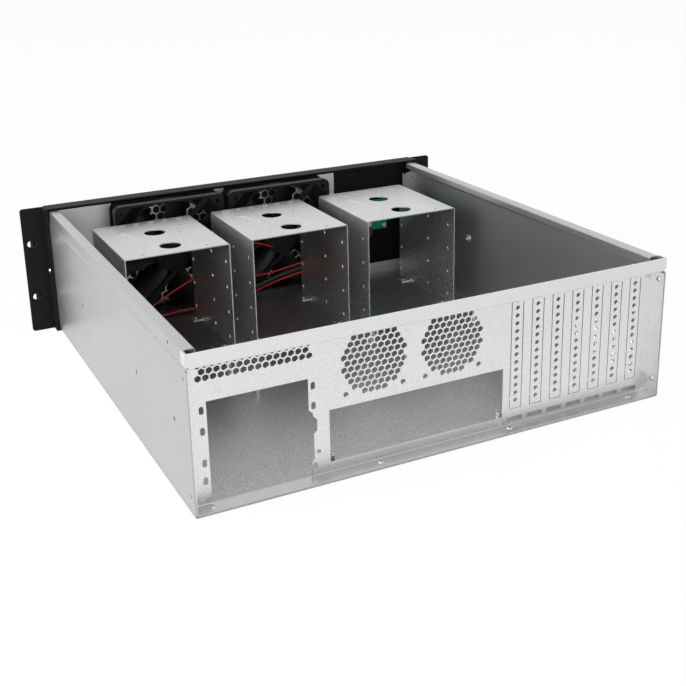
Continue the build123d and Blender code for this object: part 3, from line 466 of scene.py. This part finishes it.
def textured_finish(name, colour, roughness, texture_size, depth, gloss=0.5):
    """Plastic or coat of one colour with a fine even texture."""
    material = bpy.data.materials.new(name)
    material.use_nodes = True
    tree = material.node_tree
    shader = tree.nodes["Principled BSDF"]
    shader.inputs["Base Color"].default_value = colour
    shader.inputs["Specular IOR Level"].default_value = gloss
    place = tree.nodes.new("ShaderNodeTexCoord")
    pimples = tree.nodes.new("ShaderNodeTexNoise")
    pimples.inputs["Scale"].default_value = texture_size
    pimples.inputs["Detail"].default_value = 2.0
    tree.links.new(place.outputs["Object"], pimples.inputs["Vector"])
    bump = tree.nodes.new("ShaderNodeBump")
    bump.inputs["Strength"].default_value = texture_strength
    bump.inputs["Distance"].default_value = depth
    tree.links.new(pimples.outputs[0], bump.inputs["Height"])
    tree.links.new(bump.outputs[0], shader.inputs["Normal"])
    spread = tree.nodes.new("ShaderNodeMapRange")
    spread.inputs["To Min"].default_value = roughness - roughness_spread
    spread.inputs["To Max"].default_value = roughness + roughness_spread
    tree.links.new(pimples.outputs[0], spread.inputs["Value"])
    tree.links.new(spread.outputs[0], shader.inputs["Roughness"])
    return material


powder_coat = textured_finish(
    "powder_coat", coat_black, coat_roughness, texture_size=1300.0, depth=0.0003, gloss=0.13
)
dress(
    powder_coat,
    "front_panel",
    "rack_ear_left",
    "rack_ear_right",
    "handle_left",
    "handle_right",
    "handle_screws",
)

# Fans and buttons: black moulded plastic, a little smoother and glossier than the coat.
# Frames and wheels are moulded in one piece each, and the wheels turn on their shafts.
plastic_black = (0.006, 0.006, 0.0065, 1.0)
plastic_roughness = 0.36

moulded_black = textured_finish(
    "moulded_black", plastic_black, plastic_roughness, texture_size=700.0, depth=0.0001, gloss=0.14
)
dress(
    moulded_black,
    "fan_frame_left",
    "fan_frame_right",
    "fan_impeller_left",
    "fan_impeller_right",
    "tact_switches",
    "power_button",
    "reset_button",
)

# Front board: a small green circuit board behind the front panel, with its clear lamps.
# The solder mask is glossy, with paler copper tracks under it.
mask_green = (0.0, 0.20, 0.10, 1.0)
track_green = (0.02, 0.30, 0.17, 1.0)
mask_roughness = 0.28
track_scale = 260.0
lens_tint = (0.75, 0.85, 0.72, 1.0)
lens_roughness = 0.2

board_mask = bpy.data.materials.new("board_mask")
board_mask.use_nodes = True
tree = board_mask.node_tree
shader = tree.nodes["Principled BSDF"]
shader.inputs["Roughness"].default_value = mask_roughness
place = tree.nodes.new("ShaderNodeTexCoord")
tracks = tree.nodes.new("ShaderNodeTexBrick")
tracks.inputs["Color1"].default_value = mask_green
tracks.inputs["Color2"].default_value = mask_green
tracks.inputs["Mortar"].default_value = track_green
tracks.inputs["Scale"].default_value = track_scale
lay = tree.nodes.new("ShaderNodeMapping")
lay.inputs["Rotation"].default_value = (math.radians(90), 0, 0)
tree.links.new(place.outputs["Object"], lay.inputs["Vector"])
tree.links.new(lay.outputs[0], tracks.inputs["Vector"])
tree.links.new(tracks.outputs["Color"], shader.inputs["Base Color"])
dress(board_mask, "front_board")

lamp_clear = bpy.data.materials.new("lamp_clear")
lamp_clear.use_nodes = True
shader = lamp_clear.node_tree.nodes["Principled BSDF"]
shader.inputs["Base Color"].default_value = lens_tint
shader.inputs["Roughness"].default_value = lens_roughness
dress(lamp_clear, "status_lights")

# Dust filter: a sheet of open black foam behind the panel's air slots.
# Its pores show as a fine dark speckle, and it has no sheen.
filter_black = (0.010, 0.010, 0.010, 1.0)
filter_roughness = 0.9

foam = textured_finish(
    "foam", filter_black, filter_roughness, texture_size=420.0, depth=0.0012, gloss=0.15
)
dress(foam, "dust_filter")

# Leads behind the fans: smooth red wires and one thicker lead in a black braided sleeve.
# They run across the gap between the cages and the fans, and end in plain nylon plugs.
sleeve_diameter = 0.005
wire_diameter = 0.0018
sleeve_black = (0.018, 0.018, 0.019, 1.0)
sleeve_roughness = 0.55
wire_red = (0.52, 0.008, 0.012, 1.0)
wire_roughness = 0.38
plug_white = (0.72, 0.70, 0.62, 1.0)
plug_roughness = 0.45
sleeve_points = [
    (-0.1510, 0.0110, 0.0595),
    (-0.1510, 0.0190, 0.0595),
    (-0.1480, 0.0275, 0.0578),
    (-0.1420, 0.0340, 0.0550),
    (-0.1325, 0.0370, 0.0508),
    (-0.1180, 0.0366, 0.0446),
    (-0.0990, 0.0356, 0.0382),
    (-0.0720, 0.0354, 0.0342),
    (-0.0420, 0.0356, 0.0306),
    (-0.0140, 0.0354, 0.0244),
    (0.0120, 0.0356, 0.0154),
    (0.0380, 0.0354, 0.0086),
    (0.0660, 0.0356, 0.0059),
    (0.0960, 0.0354, 0.0054),
    (0.1260, 0.0356, 0.0056),
    (0.1540, 0.0354, 0.0054),
    (0.1830, 0.0342, 0.0055),
    (0.1990, 0.0465, 0.0054),
    (0.2040, 0.0680, 0.0055),
    (0.2032, 0.0960, 0.0054),
    (0.2032, 0.1220, 0.0054),
]
signal_points = [
    (-0.1450, 0.0110, 0.0562),
    (-0.1450, 0.0180, 0.0562),
    (-0.1430, 0.0250, 0.0536),
    (-0.1370, 0.0310, 0.0488),
    (-0.1270, 0.0352, 0.0430),
    (-0.1130, 0.0378, 0.0380),
    (-0.0950, 0.0388, 0.0334),
    (-0.0700, 0.0390, 0.0296),
    (-0.0410, 0.0389, 0.0264),
    (-0.0130, 0.0391, 0.0206),
    (0.0130, 0.0390, 0.0120),
    (0.0390, 0.0396, 0.0066),
    (0.0660, 0.0399, 0.0072),
    (0.0900, 0.0398, 0.0088),
    (0.1130, 0.0399, 0.0062),
    (0.1360, 0.0397, 0.0040),
    (0.1580, 0.0397, 0.0039),
    (0.1770, 0.0388, 0.0038),
    (0.1930, 0.0465, 0.0038),
    (0.1970, 0.0660, 0.0039),
    (0.1964, 0.0950, 0.0038),
    (0.1964, 0.1220, 0.0038),
]
left_fan_points = [
    (0.0350, 0.0300, 0.0470),
    (0.0350, 0.0332, 0.0470),
    (0.0376, 0.0356, 0.0469),
    (0.0430, 0.0370, 0.0461),
    (0.0525, 0.0373, 0.0448),
    (0.0660, 0.0372, 0.0424),
    (0.0790, 0.0374, 0.0392),
    (0.0950, 0.0372, 0.0318),
    (0.1100, 0.0374, 0.0242),
    (0.1250, 0.0372, 0.0160),
    (0.1400, 0.0368, 0.0108),
    (0.1590, 0.0364, 0.0095),
    (0.1770, 0.0360, 0.0097),
    (0.1885, 0.0445, 0.0082),
    (0.1890, 0.0620, 0.0048),
    (0.1880, 0.0840, 0.0038),
    (0.1880, 0.1060, 0.0038),
]
right_fan_points = [
    (-0.0210, 0.0300, 0.0600),
    (-0.0210, 0.0332, 0.0600),
    (-0.0186, 0.0354, 0.0616),
    (-0.0130, 0.0364, 0.0650),
    (-0.0030, 0.0364, 0.0688),
    (0.0090, 0.0362, 0.0708),
    (0.0195, 0.0364, 0.0666),
    (0.0255, 0.0366, 0.0570),
    (0.0250, 0.0366, 0.0460),
    (0.0185, 0.0367, 0.0370),
    (0.0070, 0.0366, 0.0326),
    (-0.0070, 0.0368, 0.0318),
    (-0.0210, 0.0366, 0.0330),
    (-0.0360, 0.0367, 0.0352),
    (-0.0490, 0.0366, 0.0376),
    (-0.0600, 0.0368, 0.0392),
]


def smooth_lead(name, points, diameter, material):
    """Round lead on one smooth curve through its route."""
    curve = bpy.data.curves.new(name, "CURVE")
    curve.dimensions = "3D"
    curve.bevel_depth = diameter / 2
    curve.bevel_resolution = 4
    curve.resolution_u = 8
    curve.use_fill_caps = True
    spline = curve.splines.new("NURBS")
    spline.points.add(len(points) - 1)
    for held, point in zip(spline.points, points):
        held.co = (*point, 1.0)
    spline.order_u = 3
    spline.use_endpoint_u = True
    curve.materials.append(material)
    piece = bpy.data.objects.new(name, curve)
    bpy.context.scene.collection.objects.link(piece)
    return piece


braid = textured_finish("braid", sleeve_black, sleeve_roughness, texture_size=1400.0, depth=0.0006)
red_skin = textured_finish("red_skin", wire_red, wire_roughness, texture_size=900.0, depth=0.00005)
nylon = textured_finish("nylon", plug_white, plug_roughness, texture_size=600.0, depth=0.00005)
dress(nylon, "board_header", "front_panel_plug", "fan_plug_left", "fan_plug_right")

panel_lead = smooth_lead("panel_lead", sleeve_points, sleeve_diameter, braid)
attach(panel_lead, "case")
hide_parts("front_panel_lead")
signal_lead = smooth_lead("signal_lead", signal_points, wire_diameter, red_skin)
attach(signal_lead, "case")
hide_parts("front_panel_wire")
left_lead = smooth_lead("left_lead", left_fan_points, wire_diameter, red_skin)
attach(left_lead, "case")
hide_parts("fan_lead_left")
right_lead = smooth_lead("right_lead", right_fan_points, wire_diameter, red_skin)
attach(right_lead, "case")
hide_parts("fan_lead_right")
